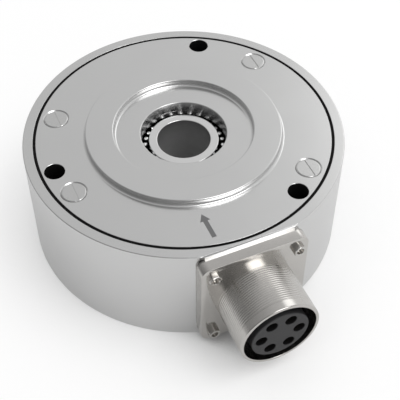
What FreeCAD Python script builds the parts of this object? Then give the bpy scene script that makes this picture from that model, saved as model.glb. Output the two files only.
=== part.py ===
import FreeCAD, Part
import math
import os
import re
import Sketcher

# Web tension load cell: a round housing with a flush cover, a needle bearing for the
# dead shaft of a web roller, a one-piece flexure that carries the bearing, and a
# square-flange circular connector on a milled flat.
# Millimetres, +Z up, origin at the centre of the base, connector along -Y.

doc = FreeCAD.newDocument("tension_load_cell")
sheet = doc.addObject("Spreadsheet::Sheet", "Sizes")

sizes = {
    # needle bearing, from the shaft outwards
    "shaft_bore": 17.0,
    "inner_ring_wall": 2.75,
    "needle_play": 0.05,
    "needle_diameter": 2.5,
    "needle_count": 30,
    "needle_end_drop": 1.75,
    "needle_end_gap": 0.12,
    "needle_end_round": 0.55,
    "outer_ring_wall": 1.15,
    "outer_ring_rib": 0.2,
    "bearing_width": 23.0,
    "inner_ring_rise": 0.5,
    "bearing_chamfer": 0.25,
    # sensing element
    "hub_wall": 5.0,
    "hub_lip": 2.6,
    "hub_lip_bore": 24.8,
    "link_width": 12.0,
    "flexure_thickness": 5.5,
    "flexure_lift": 3.5,
    "foot_width": 20.0,
    "foot_depth": 8.5,
    "foot_screw_spacing": 12.0,
    "foot_screw_head": 7.0,
    "foot_screw_head_height": 4.0,
    "foot_screw_thread": 4.0,
    "foot_screw_key": 3.0,
    "foot_screw_bite": 4.2,
    "foot_head_gap": 2.6,
    "dowel_diameter": 3.0,
    "dowel_length": 12.0,
    "dowel_bite": 4.0,
    # overload stops in the slot between hub and flexure ring
    "stop_diameter": 6.0,
    "stop_gap": 0.3,
    "stop_back_gap": 1.7,
    "stop_bite": 4.0,
    "stop_angle": 55.0,
    # strain gauges and their leads
    "gauge_angle": 45.0,
    "gauge_span": 12.0,
    "gauge_height": 4.0,
    "gauge_thickness": 0.15,
    "lead_diameter": 0.9,
    "lead_gap": 0.15,
    "lead_bend": 3.0,
    "lead_offset": 3.0,
    "lead_step": 3.4,
    # housing
    "base_thickness": 6.0,
    "floor_gap": 2.35,
    "element_gap": 3.0,
    "cavity_wall": 3.3,
    "rim_width": 3.2,
    "edge_break": 0.4,
    "mounting_hole": 6.4,
    "mounting_count": 3,
    "mounting_angle": 60.0,
    # cover
    "cover_thickness": 3.4,
    "cover_gap": 0.15,
    "cover_edge": 0.7,
    "seam_width": 0.9,
    "seal_drop": 0.4,
    "seal_play": 0.05,
    "opening_margin": 0.05,
    "opening_chamfer": 0.35,
    "recess_land": 5.6,
    "boss_width": 7.75,
    "boss_height": 2.2,
    "boss_edge_run": 1.15,
    "boss_edge_drop": 0.85,
    "boss_foot_run": 1.7,
    "recess_edge_run": 1.5,
    "recess_edge_drop": 1.2,
    "recess_foot_run": 2.4,
    # cover screws
    "cover_screw_inset": 1.4,
    "first_screw_angle": 32.0,
    "second_screw_angle": 148.0,
    "third_screw_angle": 194.5,
    "fourth_screw_angle": 314.0,
    "cover_screw_head": 8.0,
    "cover_screw_round": 0.5,
    "cover_screw_head_height": 2.3,
    "cover_screw_thread": 4.0,
    "cover_screw_length": 9.0,
    "cover_screw_seat_play": 0.1,
    "slot_width": 1.1,
    "slot_depth": 0.6,
    # clearances around threads
    "thread_play": 0.05,
    "hole_play": 0.25,
    "tap_reserve": 2.0,
    # connector on the flat
    "flat_depth": 2.07,
    "flat_break": 0.45,
    "flange_thickness": 4.0,
    "flange_lip": 4.45,
    "flange_corner": 2.8,
    "flange_drop": 1.4,
    "flange_foot": 1.9,
    "barrel_diameter": 25.3,
    "barrel_wall": 1.02,
    "barrel_length": 17.34,
    "barrel_round": 0.4,
    "neck_length": 2.89,
    "neck_step": 0.3,
    "sleeve_length": 8.0,
    "sleeve_step": 2.35,
    "sleeve_wall": 0.9,
    "passage_play": 0.2,
    "shoulder_rise": 0.38,
    # insert, contacts and the board behind them
    "insert_gap": 2.45,
    "insert_play": 0.1,
    "collar_thickness": 5.0,
    "collar_play": 0.13,
    "insert_ring_width": 1.6,
    "insert_ring_thickness": 1.0,
    "insert_ring_bite": 0.35,
    "insert_ring_gap": 40.0,
    "contact_margin": 3.11,
    "contact_count": 6,
    "contact_opening": 3.7,
    "contact_drop": 2.2,
    "contact_diameter": 3.0,
    "contact_bore": 2.0,
    "contact_bore_depth": 9.0,
    "contact_shoulder": 0.2,
    "contact_shoulder_length": 5.0,
    "contact_play": 0.05,
    "tail_diameter": 1.5,
    "tail_end": 1.0,
    "board_thickness": 1.6,
    "board_play": 0.3,
    # connector seal and screws
    "seal_section": 1.5,
    "seal_groove_side": 0.2,
    "seal_groove_wall": 0.9,
    "flange_screw_margin": 3.65,
    "flange_screw_flats": 3.5,
    "flange_screw_head_height": 1.85,
    "flange_screw_recess": 2.2,
    "flange_screw_recess_depth": 1.2,
    "flange_screw_thread": 2.5,
    "flange_screw_bite": 6.0,
}

# Levels and radii that follow from the sizes, from the shaft outwards and from the base up.
levels = {
    "shaft_radius": "shaft_bore / 2",
    "inner_ring_radius": "shaft_radius + inner_ring_wall",
    "needle_circle": "inner_ring_radius + needle_play + needle_diameter / 2",
    "raceway_radius": "needle_circle + needle_diameter / 2 + needle_play",
    "bearing_radius": "raceway_radius + outer_ring_wall",
    "hub_radius": "bearing_radius + hub_wall",
    "stop_circle": "hub_radius + stop_gap + stop_diameter / 2",
    "flexure_inner": "hub_radius + stop_gap + stop_diameter + stop_back_gap",
    "flexure_outer": "flexure_inner + flexure_thickness",
    "foot_screw_x": "flexure_outer - foot_depth / 2",
    "cavity_radius": "flexure_outer + element_gap",
    "mounting_circle": "cavity_radius + cavity_wall + mounting_hole / 2",
    "cover_radius": "mounting_circle + mounting_hole / 2 + cover_edge",
    "recess_radius": "cover_radius + seam_width",
    "body_radius": "recess_radius + rim_width",
    "flat_distance": "body_radius - flat_depth",
    "opening_radius": "raceway_radius - outer_ring_rib + opening_margin",
    "recess_radius_low": "opening_radius + recess_land",
    "recess_waist": "recess_radius_low + recess_foot_run",
    "boss_inner": "recess_waist + recess_edge_run",
    "boss_outer": "boss_inner + boss_width",
    "boss_waist": "boss_outer + boss_edge_run",
    "boss_foot": "boss_waist + boss_foot_run",
    "cover_screw_circle": "mounting_circle - cover_screw_inset",
    "flange_size": "barrel_diameter + 2 * flange_lip",
    "stack_height": "base_thickness + floor_gap + hub_lip + bearing_width + cover_gap + cover_thickness",
    "body_height": "max(stack_height; flange_drop + flange_size + flange_foot)",
    "ledge_level": "body_height - cover_thickness",
    "bearing_top": "ledge_level - cover_gap",
    "bearing_bottom": "bearing_top - bearing_width",
    "hub_bottom": "bearing_bottom - hub_lip",
    "needle_bottom": "bearing_bottom + needle_end_drop",
    "needle_top": "bearing_top - needle_end_drop",
    "inner_ring_top": "bearing_top + inner_ring_rise",
    "flexure_bottom": "base_thickness + flexure_lift",
    "flexure_top": "ledge_level - foot_head_gap - foot_screw_head_height",
    "flexure_height": "flexure_top - flexure_bottom",
    "gauge_level": "(flexure_bottom + flexure_top) / 2",
    "lead_circle": "flexure_outer + gauge_thickness + lead_gap + lead_diameter / 2",
    "boss_level": "body_height + boss_height",
    "boss_foot_rise": "boss_height - boss_edge_drop",
    "boss_foot_round": "(boss_foot_run ^ 2 + boss_foot_rise ^ 2) / (2 * boss_foot_rise)",
    "recess_foot_rise": "boss_height - recess_edge_drop",
    "recess_foot_round": "(recess_foot_run ^ 2 + recess_foot_rise ^ 2) / (2 * recess_foot_rise)",
    "screw_seat_level": "body_height - cover_screw_head_height",
    "connector_level": "body_height - flange_drop - flange_size / 2",
    "barrel_radius": "barrel_diameter / 2",
    "barrel_bore": "barrel_radius - barrel_wall",
    "neck_radius": "barrel_radius - neck_step",
    "neck_level": "flange_thickness + neck_length",
    "front_level": "flange_thickness + barrel_length",
    "sleeve_radius": "barrel_radius - sleeve_step",
    "sleeve_bore": "sleeve_radius - sleeve_wall",
    "passage_radius": "sleeve_radius + passage_play",
    "shoulder_level": "flange_thickness + shoulder_rise",
    "collar_top": "shoulder_level + collar_thickness",
    "insert_radius": "barrel_bore - insert_gap",
    "insert_tail": "sleeve_bore - insert_play",
    "contact_circle": "insert_radius - contact_margin",
    "contact_front": "front_level - contact_drop",
    "seal_groove_half": "seal_section / 2 + seal_groove_side",
    "seal_circle": "passage_radius + seal_groove_wall + seal_groove_half",
    "flange_screw_place": "flange_size / 2 - flange_screw_margin",
}


def formula(text):
    """Trace every name in a size formula back to a cell of the sheet."""

    def cell(match):
        word = match.group(0)
        if word in levels:
            return "(" + formula(levels[word]) + ")"
        return "Sizes." + word if word in sizes else word

    return re.sub(r"[a-z_][a-z_0-9]*", cell, text)


def value(text):
    return float(sheet.evalExpression(formula(text)))


def bind(item, field, text):
    item.setExpression(field, formula(text))


def place(item, x="0", y="0", z="0"):
    for axis, text in zip("xyz", (x, y, z)):
        if text != "0":
            bind(item, "Placement.Base." + axis, text)
    return item


def on_flat(item):
    """Turn a piece made upright so that it stands out of the milled flat."""
    item.Placement.Rotation = FreeCAD.Rotation(FreeCAD.Vector(1, 0, 0), 90)
    return place(item, y="-flat_distance", z="connector_level")


def cylinder(name, radius, height, x="0", y="0", z="0"):
    item = doc.addObject("Part::Cylinder", name)
    bind(item, "Radius", radius)
    bind(item, "Height", height)
    return place(item, x, y, z)


def block(name, length, width, height, x, y, z):
    """A box centred on x and y that starts at z."""
    item = doc.addObject("Part::Box", name)
    bind(item, "Length", length)
    bind(item, "Width", width)
    bind(item, "Height", height)
    return place(item, x + " - (" + length + ") / 2", y + " - (" + width + ") / 2", z)


def hexagon(name, flats, height, z, turn=0):
    item = doc.addObject("Part::Prism", name)
    item.Polygon = 6
    item.Placement.Rotation = FreeCAD.Rotation(FreeCAD.Vector(0, 0, 1), turn)
    bind(item, "Circumradius", "(" + flats + ") / 2 / cos(30)")
    bind(item, "Height", height)
    return place(item, z=z)


def fuse(name, shapes):
    item = doc.addObject("Part::MultiFuse", name)
    item.Shapes = shapes
    return item


def cut(name, base, tools):
    item = doc.addObject("Part::Cut", name)
    item.Base = base
    item.Tool = tools[0] if len(tools) == 1 else fuse(name + "_tools", tools)
    return item


def gather(name, shapes):
    item = doc.addObject("Part::Compound", name)
    item.Links = shapes
    return item


def repeat(name, original, places):
    """The same piece at several places, as one group."""
    copies = []
    for number, (x, y) in enumerate(places, 1):
        copy = doc.addObject("App::Link", name + "_" + str(number))
        copy.LinkedObject = original
        copies.append(place(copy, x, y))
    return gather(name, copies)


def origin_item(body, role):
    return next(item for item in body.Origin.OriginFeatures if item.Role == role)


def hold(sketch, edge, end, kind, text, axis):
    """Keep one coordinate of an end of a sketch edge at the given formula."""
    amount = value(text)
    if abs(amount) < 1e-9:
        sketch.addConstraint(Sketcher.Constraint("PointOnObject", edge, end, axis))
        return
    if amount > 0:
        index = sketch.addConstraint(Sketcher.Constraint(kind, -1, 1, edge, end, amount))
    else:
        index = sketch.addConstraint(Sketcher.Constraint(kind, edge, end, -1, 1, -amount))
        text = "-(" + text + ")"
    bind(sketch, "Constraints[" + str(index) + "]", text)


def outline(body, plane, corners, arcs=None):
    """A closed sketch through the corners; an arc runs from the numbered corner to the next."""
    arcs = arcs or {}
    sketch = body.newObject("Sketcher::SketchObject", body.Name + "_outline")
    sketch.AttachmentSupport = [(origin_item(body, plane), "")]
    sketch.MapMode = "FlatFace"
    points = [FreeCAD.Vector(value(x), value(y), 0) for x, y in corners]
    ends = []
    for number, start in enumerate(points):
        finish = points[(number + 1) % len(points)]
        edge = Part.LineSegment(start, finish)
        if number in arcs:
            radius, centre_x, centre_y = (value(text) for text in arcs[number])
            centre = FreeCAD.Vector(centre_x, centre_y, 0)
            toward = (start + finish) * 0.5 - centre
            edge = Part.Arc(start, centre + toward * (radius / toward.Length), finish)
        sketch.addGeometry(edge, False)
        forward = (sketch.getPoint(number, 1) - start).Length < 1e-6
        ends.append((1, 2) if forward else (2, 1))
    for number, (x, y) in enumerate(corners):
        before = number - 1 if number else len(points) - 1
        join = Sketcher.Constraint("Coincident", before, ends[before][1], number, ends[number][0])
        sketch.addConstraint(join)
        hold(sketch, number, ends[number][0], "DistanceX", x, -2)
        hold(sketch, number, ends[number][0], "DistanceY", y, -1)
    for number, arc in arcs.items():
        index = sketch.addConstraint(Sketcher.Constraint("Radius", number, value(arc[0])))
        bind(sketch, "Constraints[" + str(index) + "]", arc[0])
    return sketch


def turned(name, corners, arcs=None, angle="360"):
    """A solid turned about the upright axis from half of its section."""
    body = doc.addObject("PartDesign::Body", name)
    sketch = outline(body, "XZ_Plane", corners, arcs)
    turn = body.newObject("PartDesign::Revolution", name + "_turn")
    turn.Profile = sketch
    turn.ReferenceAxis = (sketch, ["V_Axis"])
    turn.Midplane = angle != "360"
    bind(turn, "Angle", angle)
    return body


def around(body, feature, count):
    """Repeat a feature of the body evenly about the upright axis."""
    pattern = body.newObject("PartDesign::PolarPattern", body.Name + "_pattern")
    pattern.Originals = [feature]
    pattern.Axis = (origin_item(body, "Z_Axis"), [""])
    pattern.Angle = 360
    bind(pattern, "Occurrences", count)
    body.Tip = pattern


def polar(radius, angle):
    return radius + " * cos(" + angle + ")", radius + " * sin(" + angle + ")"


for row, (alias, number) in enumerate(sizes.items(), 1):
    sheet.set("A" + str(row), alias)
    sheet.set("B" + str(row), str(number))
    sheet.setAlias("B" + str(row), alias)
doc.recompute()

mounting_places = [
    polar("mounting_circle", "mounting_angle + " + str(turn) + " * 360 / mounting_count")
    for turn in range(sizes["mounting_count"])
]
cover_screw_places = [
    polar("cover_screw_circle", order + "_screw_angle") for order in ("first", "second", "third", "fourth")
]
foot_places = [
    (side + "foot_screw_x", end + "foot_screw_spacing / 2") for side in ("", "-") for end in ("", "-")
]
dowel_places = [("foot_screw_x", "0"), ("-foot_screw_x", "0")]
stop_places = [
    polar("stop_circle", angle)
    for angle in ("stop_angle", "180 - stop_angle", "180 + stop_angle", "-stop_angle")
]
flange_screw_places = [
    (side + "flange_screw_place", end + "flange_screw_place") for side in ("", "-") for end in ("", "-")
]
contact_places = [
    polar("contact_circle", str(turn) + " * 360 / contact_count")
    for turn in range(sizes["contact_count"])
]


def rods(name, radius, height, places, z):
    return [
        cylinder(name + "_" + str(number), radius, height, x, y, z)
        for number, (x, y) in enumerate(places, 1)
    ]


# Housing: a turned cup, milled flat for the connector, drilled from above and from the flat.
cup = turned("cup", [
    ("0", "0"),
    ("body_radius - edge_break", "0"),
    ("body_radius", "edge_break"),
    ("body_radius", "body_height - edge_break"),
    ("body_radius - edge_break", "body_height"),
    ("recess_radius", "body_height"),
    ("recess_radius", "ledge_level"),
    ("cavity_radius", "ledge_level"),
    ("cavity_radius", "base_thickness"),
    ("0", "base_thickness"),
])
flat_cut = block("flat_cut", "2 * body_radius", "2 * flat_depth", "body_height", "0", "-body_radius", "0")
flat_edge = doc.addObject("Part::Box", "flat_edge")
flat_edge.Placement.Rotation = FreeCAD.Rotation(FreeCAD.Vector(1, 0, 0), 45)
bind(flat_edge, "Length", "2 * body_radius")
bind(flat_edge, "Width", "3 * flat_break * sqrt(2)")
bind(flat_edge, "Height", "2 * flat_break")
place(flat_edge, "-body_radius", "-flat_distance - flat_break", "body_height - 2 * flat_break")
seal_groove = cut("seal_groove", cylinder(
    "seal_groove_rim", "seal_circle + seal_groove_half", "seal_section", z="-seal_section"
), [cylinder("seal_groove_core", "seal_circle - seal_groove_half", "seal_section", z="-seal_section")])
wall_depth = "flat_distance - cavity_radius + cavity_wall"
connector_holes = on_flat(fuse("connector_holes", [
    cylinder("passage", "passage_radius", wall_depth, z="-(" + wall_depth + ")"),
    seal_groove,
] + rods(
    "flange_tap",
    "flange_screw_thread / 2 + thread_play",
    "flange_screw_bite + tap_reserve",
    flange_screw_places,
    "-flange_screw_bite - tap_reserve",
)))
housing = cut("housing", cup, [flat_cut, flat_edge, connector_holes] + rods(
    "mounting_bore", "mounting_hole / 2", "ledge_level", mounting_places, "0"
) + rods(
    "cover_tap",
    "cover_screw_thread / 2 + thread_play",
    "cover_screw_length + tap_reserve",
    cover_screw_places,
    "ledge_level - cover_screw_length - tap_reserve",
) + rods(
    "foot_tap",
    "foot_screw_thread / 2 + thread_play",
    "foot_screw_bite + thread_play",
    foot_places,
    "base_thickness - foot_screw_bite - thread_play",
) + rods(
    "dowel_seat", "dowel_diameter / 2", "dowel_bite", dowel_places, "base_thickness - dowel_bite"
) + rods(
    "stop_seat", "stop_diameter / 2", "stop_bite", stop_places, "base_thickness - stop_bite"
))

# Cover: turned with the raised ring, its bevels and its two hollow feet, then drilled and counterbored.
cover_disc = turned("cover_disc", [
    ("opening_radius", "ledge_level"),
    ("cover_radius", "ledge_level"),
    ("cover_radius", "body_height"),
    ("boss_foot", "body_height"),
    ("boss_waist", "boss_level - boss_edge_drop"),
    ("boss_outer", "boss_level"),
    ("boss_inner", "boss_level"),
    ("recess_waist", "boss_level - recess_edge_drop"),
    ("recess_radius_low", "body_height"),
    ("opening_radius + opening_chamfer", "body_height"),
    ("opening_radius", "body_height - opening_chamfer"),
], {
    3: ("boss_foot_round", "boss_foot", "body_height + boss_foot_round"),
    7: ("recess_foot_round", "recess_radius_low", "body_height + recess_foot_round"),
})
cover_plate = cut("cover_plate", cover_disc, rods(
    "cover_mounting_bore", "mounting_hole / 2", "cover_thickness", mounting_places, "ledge_level"
) + rods(
    "screw_passage",
    "cover_screw_thread / 2 + hole_play",
    "cover_thickness",
    cover_screw_places,
    "ledge_level",
) + rods(
    "screw_seat",
    "cover_screw_head / 2 + cover_screw_seat_play",
    "cover_screw_head_height",
    cover_screw_places,
    "screw_seat_level",
))
cover_seal = turned("cover_seal", [
    ("cover_radius + seal_play", "ledge_level"),
    ("recess_radius - seal_play", "ledge_level"),
    ("recess_radius - seal_play", "body_height - seal_drop"),
    ("cover_radius + seal_play", "body_height - seal_drop"),
])
cover_screw_blank = turned("cover_screw_blank", [
    ("0", "ledge_level - cover_screw_length"),
    ("cover_screw_thread / 2", "ledge_level - cover_screw_length"),
    ("cover_screw_thread / 2", "screw_seat_level"),
    ("cover_screw_head / 2", "screw_seat_level"),
    ("cover_screw_head / 2", "body_height - cover_screw_round"),
    ("cover_screw_head / 2 - cover_screw_round", "body_height"),
    ("0", "body_height"),
], {
    4: ("cover_screw_round", "cover_screw_head / 2 - cover_screw_round", "body_height - cover_screw_round"),
})
cover_screw = cut("cover_screw", cover_screw_blank, [block(
    "cover_screw_slot",
    "slot_width",
    "2 * cover_screw_head",
    "2 * slot_depth",
    "0",
    "0",
    "body_height - slot_depth",
)])
cover_screws = repeat("cover_screws", cover_screw, cover_screw_places)

# Needle bearing: thin outer ring with two ribs, full complement of needles, wide inner ring.
bearing_outer_ring = turned("bearing_outer_ring", [
    ("raceway_radius - outer_ring_rib", "bearing_bottom"),
    ("bearing_radius - bearing_chamfer", "bearing_bottom"),
    ("bearing_radius", "bearing_bottom + bearing_chamfer"),
    ("bearing_radius", "bearing_top - bearing_chamfer"),
    ("bearing_radius - bearing_chamfer", "bearing_top"),
    ("raceway_radius - outer_ring_rib", "bearing_top"),
    ("raceway_radius - outer_ring_rib", "needle_top + needle_end_gap"),
    ("raceway_radius", "needle_top + needle_end_gap"),
    ("raceway_radius", "needle_bottom - needle_end_gap"),
    ("raceway_radius - outer_ring_rib", "needle_bottom - needle_end_gap"),
])
bearing_inner_ring = turned("bearing_inner_ring", [
    ("shaft_radius + bearing_chamfer", "inner_ring_top - bearing_width"),
    ("inner_ring_radius - bearing_chamfer", "inner_ring_top - bearing_width"),
    ("inner_ring_radius", "inner_ring_top - bearing_width + bearing_chamfer"),
    ("inner_ring_radius", "inner_ring_top - bearing_chamfer"),
    ("inner_ring_radius - bearing_chamfer", "inner_ring_top"),
    ("shaft_radius + bearing_chamfer", "inner_ring_top"),
    ("shaft_radius", "inner_ring_top - bearing_chamfer"),
    ("shaft_radius", "inner_ring_top - bearing_width + bearing_chamfer"),
])
bearing_needles = doc.addObject("PartDesign::Body", "bearing_needles")
needle_side = "needle_circle + needle_diameter / 2"
needle_flat = "needle_circle + needle_diameter / 2 - needle_end_round"
needle_half = outline(bearing_needles, "XZ_Plane", [
    ("needle_circle", "needle_bottom"),
    (needle_flat, "needle_bottom"),
    (needle_side, "needle_bottom + needle_end_round"),
    (needle_side, "needle_top - needle_end_round"),
    (needle_flat, "needle_top"),
    ("needle_circle", "needle_top"),
], {
    1: ("needle_end_round", needle_flat, "needle_bottom + needle_end_round"),
    3: ("needle_end_round", needle_flat, "needle_top - needle_end_round"),
})
needle = bearing_needles.newObject("PartDesign::Revolution", "needle_turn")
needle.Profile = needle_half
needle.ReferenceAxis = (needle_half, ["Edge6"])
needle.Angle = 360
doc.recompute()
around(bearing_needles, needle, "needle_count")

# Sensing element: hub, two links along the load, flexure ring and two feet in one piece.
flexure_ring = cut("flexure_ring", cylinder(
    "flexure_rim", "flexure_outer", "flexure_height", z="flexure_bottom"
), [cylinder("flexure_core", "flexure_inner", "flexure_height", z="flexure_bottom")])
hub = cylinder("hub", "hub_radius", "bearing_top - hub_bottom", z="hub_bottom")
links = block(
    "links",
    "link_width",
    "flexure_inner + flexure_outer",
    "flexure_height",
    "0",
    "0",
    "flexure_bottom",
)
feet_blank = cylinder("feet_blank", "flexure_outer", "flexure_top - base_thickness", z="base_thickness")
feet = doc.addObject("Part::Common", "feet")
feet.Base = feet_blank
feet.Tool = fuse("feet_blocks", [
    block(
        name,
        "foot_depth",
        "foot_width",
        "flexure_top - base_thickness",
        x,
        "0",
        "base_thickness",
    )
    for name, x in (("foot_right", "foot_screw_x"), ("foot_left", "-foot_screw_x"))
])
bearing_seat = turned("bearing_seat", [
    ("0", "hub_bottom"),
    ("hub_lip_bore / 2", "hub_bottom"),
    ("hub_lip_bore / 2", "bearing_bottom"),
    ("bearing_radius", "bearing_bottom"),
    ("bearing_radius", "bearing_top"),
    ("0", "bearing_top"),
])
sensing_element = cut("sensing_element", fuse("element_blank", [hub, links, flexure_ring, feet]), [
    bearing_seat
] + rods(
    "foot_bore",
    "foot_screw_thread / 2 + hole_play",
    "flexure_top - base_thickness",
    foot_places,
    "base_thickness",
) + rods(
    "foot_dowel_bore",
    "dowel_diameter / 2",
    "dowel_length - dowel_bite",
    dowel_places,
    "base_thickness",
))
element_screw = cut("element_screw", fuse("element_screw_blank", [
    cylinder("element_screw_head", "foot_screw_head / 2", "foot_screw_head_height", z="flexure_top"),
    cylinder(
        "element_screw_shank",
        "foot_screw_thread / 2",
        "flexure_top - base_thickness + foot_screw_bite",
        z="base_thickness - foot_screw_bite",
    ),
]), [hexagon(
    "element_screw_key",
    "foot_screw_key",
    "foot_screw_head_height",
    "flexure_top + foot_screw_head_height / 2",
)])
element_screws = repeat("element_screws", element_screw, foot_places)
element_dowels = gather("element_dowels", rods(
    "element_dowel", "dowel_diameter / 2", "dowel_length", dowel_places, "base_thickness - dowel_bite"
))
overload_stops = gather("overload_stops", rods(
    "overload_stop",
    "stop_diameter / 2",
    "flexure_top - base_thickness + stop_bite",
    stop_places,
    "base_thickness - stop_bite",
))

# Strain gauges on the flexure ring, halfway between links and feet, and their leads.
strain_gauges = turned("strain_gauges", [
    ("flexure_outer", "gauge_level - gauge_height / 2"),
    ("flexure_outer + gauge_thickness", "gauge_level - gauge_height / 2"),
    ("flexure_outer + gauge_thickness", "gauge_level + gauge_height / 2"),
    ("flexure_outer", "gauge_level + gauge_height / 2"),
], angle="gauge_span")
doc.recompute()
around(strain_gauges, strain_gauges.Tip, "4")
strain_gauges.Placement.Rotation = FreeCAD.Rotation(FreeCAD.Vector(0, 0, 1), value("gauge_angle"))
bind(strain_gauges, "Placement.Rotation.Angle", "gauge_angle")


def lead(side, level, last):
    """One lead: straight off the board, round a bend and along the flexure ring to its gauge."""
    offset = value("lead_offset")
    bend = value("lead_bend")
    circle = value("lead_circle")
    start = -value("flat_distance - sleeve_length - board_thickness")
    across = offset + bend
    down = -math.sqrt((circle + bend) ** 2 - across ** 2)
    touch = math.atan2(down, across)

    def point(x, y):
        return FreeCAD.Vector(side * x, y, value(level))

    def on_ring(angle):
        return point(circle * math.cos(angle), circle * math.sin(angle))

    inner = touch + math.pi
    half = (math.pi + inner) / 2
    turn = point(across + bend * math.cos(half), down + bend * math.sin(half))
    finish = math.radians(last)
    route = Part.Wire([
        Part.LineSegment(point(offset, start), point(offset, down)).toShape(),
        Part.Arc(point(offset, down), turn, on_ring(touch)).toShape(),
        Part.Arc(on_ring(touch), on_ring((touch + finish) / 2), on_ring(finish)).toShape(),
    ])
    rim = Part.Circle(point(offset, start), FreeCAD.Vector(0, 1, 0), value("lead_diameter / 2"))
    return route.makePipeShell([Part.Wire(rim.toShape())], True, True)


gauge_leads = doc.addObject("Part::Feature", "gauge_leads")
near_end = -value("gauge_angle + gauge_span / 2")
far_end = value("gauge_angle - gauge_span / 2")
gauge_leads.Shape = Part.Compound([
    lead(side, level, last)
    for side in (1, -1)
    for level, last in (("gauge_level", near_end), ("gauge_level + lead_step", far_end))
])

# Connector, made upright and then turned out of the flat: shell, insert, contacts and board.
flange = doc.addObject("PartDesign::Body", "flange")
flange_sketch = outline(flange, "XY_Plane", [
    ("-flange_size / 2", "-flange_size / 2"),
    ("flange_size / 2", "-flange_size / 2"),
    ("flange_size / 2", "flange_size / 2"),
    ("-flange_size / 2", "flange_size / 2"),
])
flange_pad = flange.newObject("PartDesign::Pad", "flange_pad")
flange_pad.Profile = flange_sketch
bind(flange_pad, "Length", "flange_thickness")
doc.recompute()
upright_edges = [
    "Edge" + str(number)
    for number, edge in enumerate(flange_pad.Shape.Edges, 1)
    if abs(edge.tangentAt(edge.FirstParameter).z) > 0.9
]
flange_round = flange.newObject("PartDesign::Fillet", "flange_round")
flange_round.Base = (flange_pad, upright_edges)
bind(flange_round, "Radius", "flange_corner")
barrel = turned("barrel", [
    ("sleeve_bore", "-sleeve_length"),
    ("sleeve_radius", "-sleeve_length"),
    ("sleeve_radius", "flange_thickness / 2"),
    ("neck_radius", "flange_thickness / 2"),
    ("neck_radius", "neck_level"),
    ("barrel_radius", "neck_level"),
    ("barrel_radius", "front_level - barrel_round"),
    ("barrel_radius - barrel_round", "front_level"),
    ("barrel_bore", "front_level"),
    ("barrel_bore", "collar_top + insert_ring_thickness"),
    ("barrel_bore + insert_ring_bite", "collar_top + insert_ring_thickness"),
    ("barrel_bore + insert_ring_bite", "collar_top"),
    ("barrel_bore", "collar_top"),
    ("barrel_bore", "shoulder_level"),
    ("sleeve_bore", "shoulder_level"),
], {6: ("barrel_round", "barrel_radius - barrel_round", "front_level - barrel_round")})
connector_shell = on_flat(cut("connector_shell", fuse("shell_blank", [
    cut("flange_plate", flange, [cylinder("flange_opening", "sleeve_radius", "flange_thickness")]),
    barrel,
]), rods(
    "flange_bore", "flange_screw_thread / 2 + hole_play", "flange_thickness", flange_screw_places, "0"
)))
insert_blank = turned("insert_blank", [
    ("0", "-sleeve_length"),
    ("insert_tail", "-sleeve_length"),
    ("insert_tail", "shoulder_level"),
    ("barrel_bore - collar_play", "shoulder_level"),
    ("barrel_bore - collar_play", "collar_top"),
    ("insert_radius", "collar_top"),
    ("insert_radius", "front_level"),
    ("0", "front_level"),
])
contact_length = "contact_front + sleeve_length"
connector_insert = on_flat(cut("connector_insert", insert_blank, rods(
    "contact_mouth", "contact_opening / 2", "contact_drop", contact_places, "contact_front"
) + rods(
    "contact_channel",
    "contact_diameter / 2 + contact_play",
    contact_length,
    contact_places,
    "-sleeve_length",
) + rods(
    "contact_seat",
    "contact_diameter / 2 + contact_shoulder + contact_play",
    "contact_shoulder_length",
    contact_places,
    "-sleeve_length",
)))
contact = cut("contact", fuse("contact_blank", [
    cylinder("contact_barrel", "contact_diameter / 2", contact_length, z="-sleeve_length"),
    cylinder(
        "contact_ring",
        "contact_diameter / 2 + contact_shoulder",
        "contact_shoulder_length",
        z="-sleeve_length",
    ),
    cylinder(
        "contact_tail",
        "tail_diameter / 2",
        "board_thickness + tail_end",
        z="-sleeve_length - board_thickness - tail_end",
    ),
]), [cylinder(
    "contact_hole", "contact_bore / 2", "contact_bore_depth", z="contact_front - contact_bore_depth"
)])
contact_sockets = on_flat(repeat("contact_sockets", contact, contact_places))
insert_retaining_ring = on_flat(turned("insert_retaining_ring", [
    ("barrel_bore + insert_ring_bite - insert_ring_width", "collar_top"),
    ("barrel_bore + insert_ring_bite", "collar_top"),
    ("barrel_bore + insert_ring_bite", "collar_top + insert_ring_thickness"),
    ("barrel_bore + insert_ring_bite - insert_ring_width", "collar_top + insert_ring_thickness"),
], angle="360 - insert_ring_gap"))
terminal_board = on_flat(cut("terminal_board", cylinder(
    "board_disc", "passage_radius - board_play", "board_thickness", z="-sleeve_length - board_thickness"
), rods(
    "tail_hole",
    "tail_diameter / 2 + thread_play",
    "board_thickness",
    contact_places,
    "-sleeve_length - board_thickness",
)))
connector_seal = doc.addObject("Part::Torus", "connector_seal")
bind(connector_seal, "Radius1", "seal_circle")
bind(connector_seal, "Radius2", "seal_section / 2")
connector_seal.Placement.Rotation = FreeCAD.Rotation(FreeCAD.Vector(1, 0, 0), 90)
place(connector_seal, y="-flat_distance + seal_section / 2", z="connector_level")
flange_screw = cut("flange_screw", fuse("flange_screw_blank", [
    hexagon("flange_screw_head", "flange_screw_flats", "flange_screw_head_height", "flange_thickness", 30),
    cylinder(
        "flange_screw_shank",
        "flange_screw_thread / 2",
        "flange_thickness + flange_screw_bite",
        z="-flange_screw_bite",
    ),
]), [cylinder(
    "flange_screw_end",
    "flange_screw_recess / 2",
    "flange_screw_recess_depth",
    z="flange_thickness + flange_screw_head_height - flange_screw_recess_depth",
)])
connector_screws = on_flat(repeat("connector_screws", flange_screw, flange_screw_places))

doc.recompute()

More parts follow.
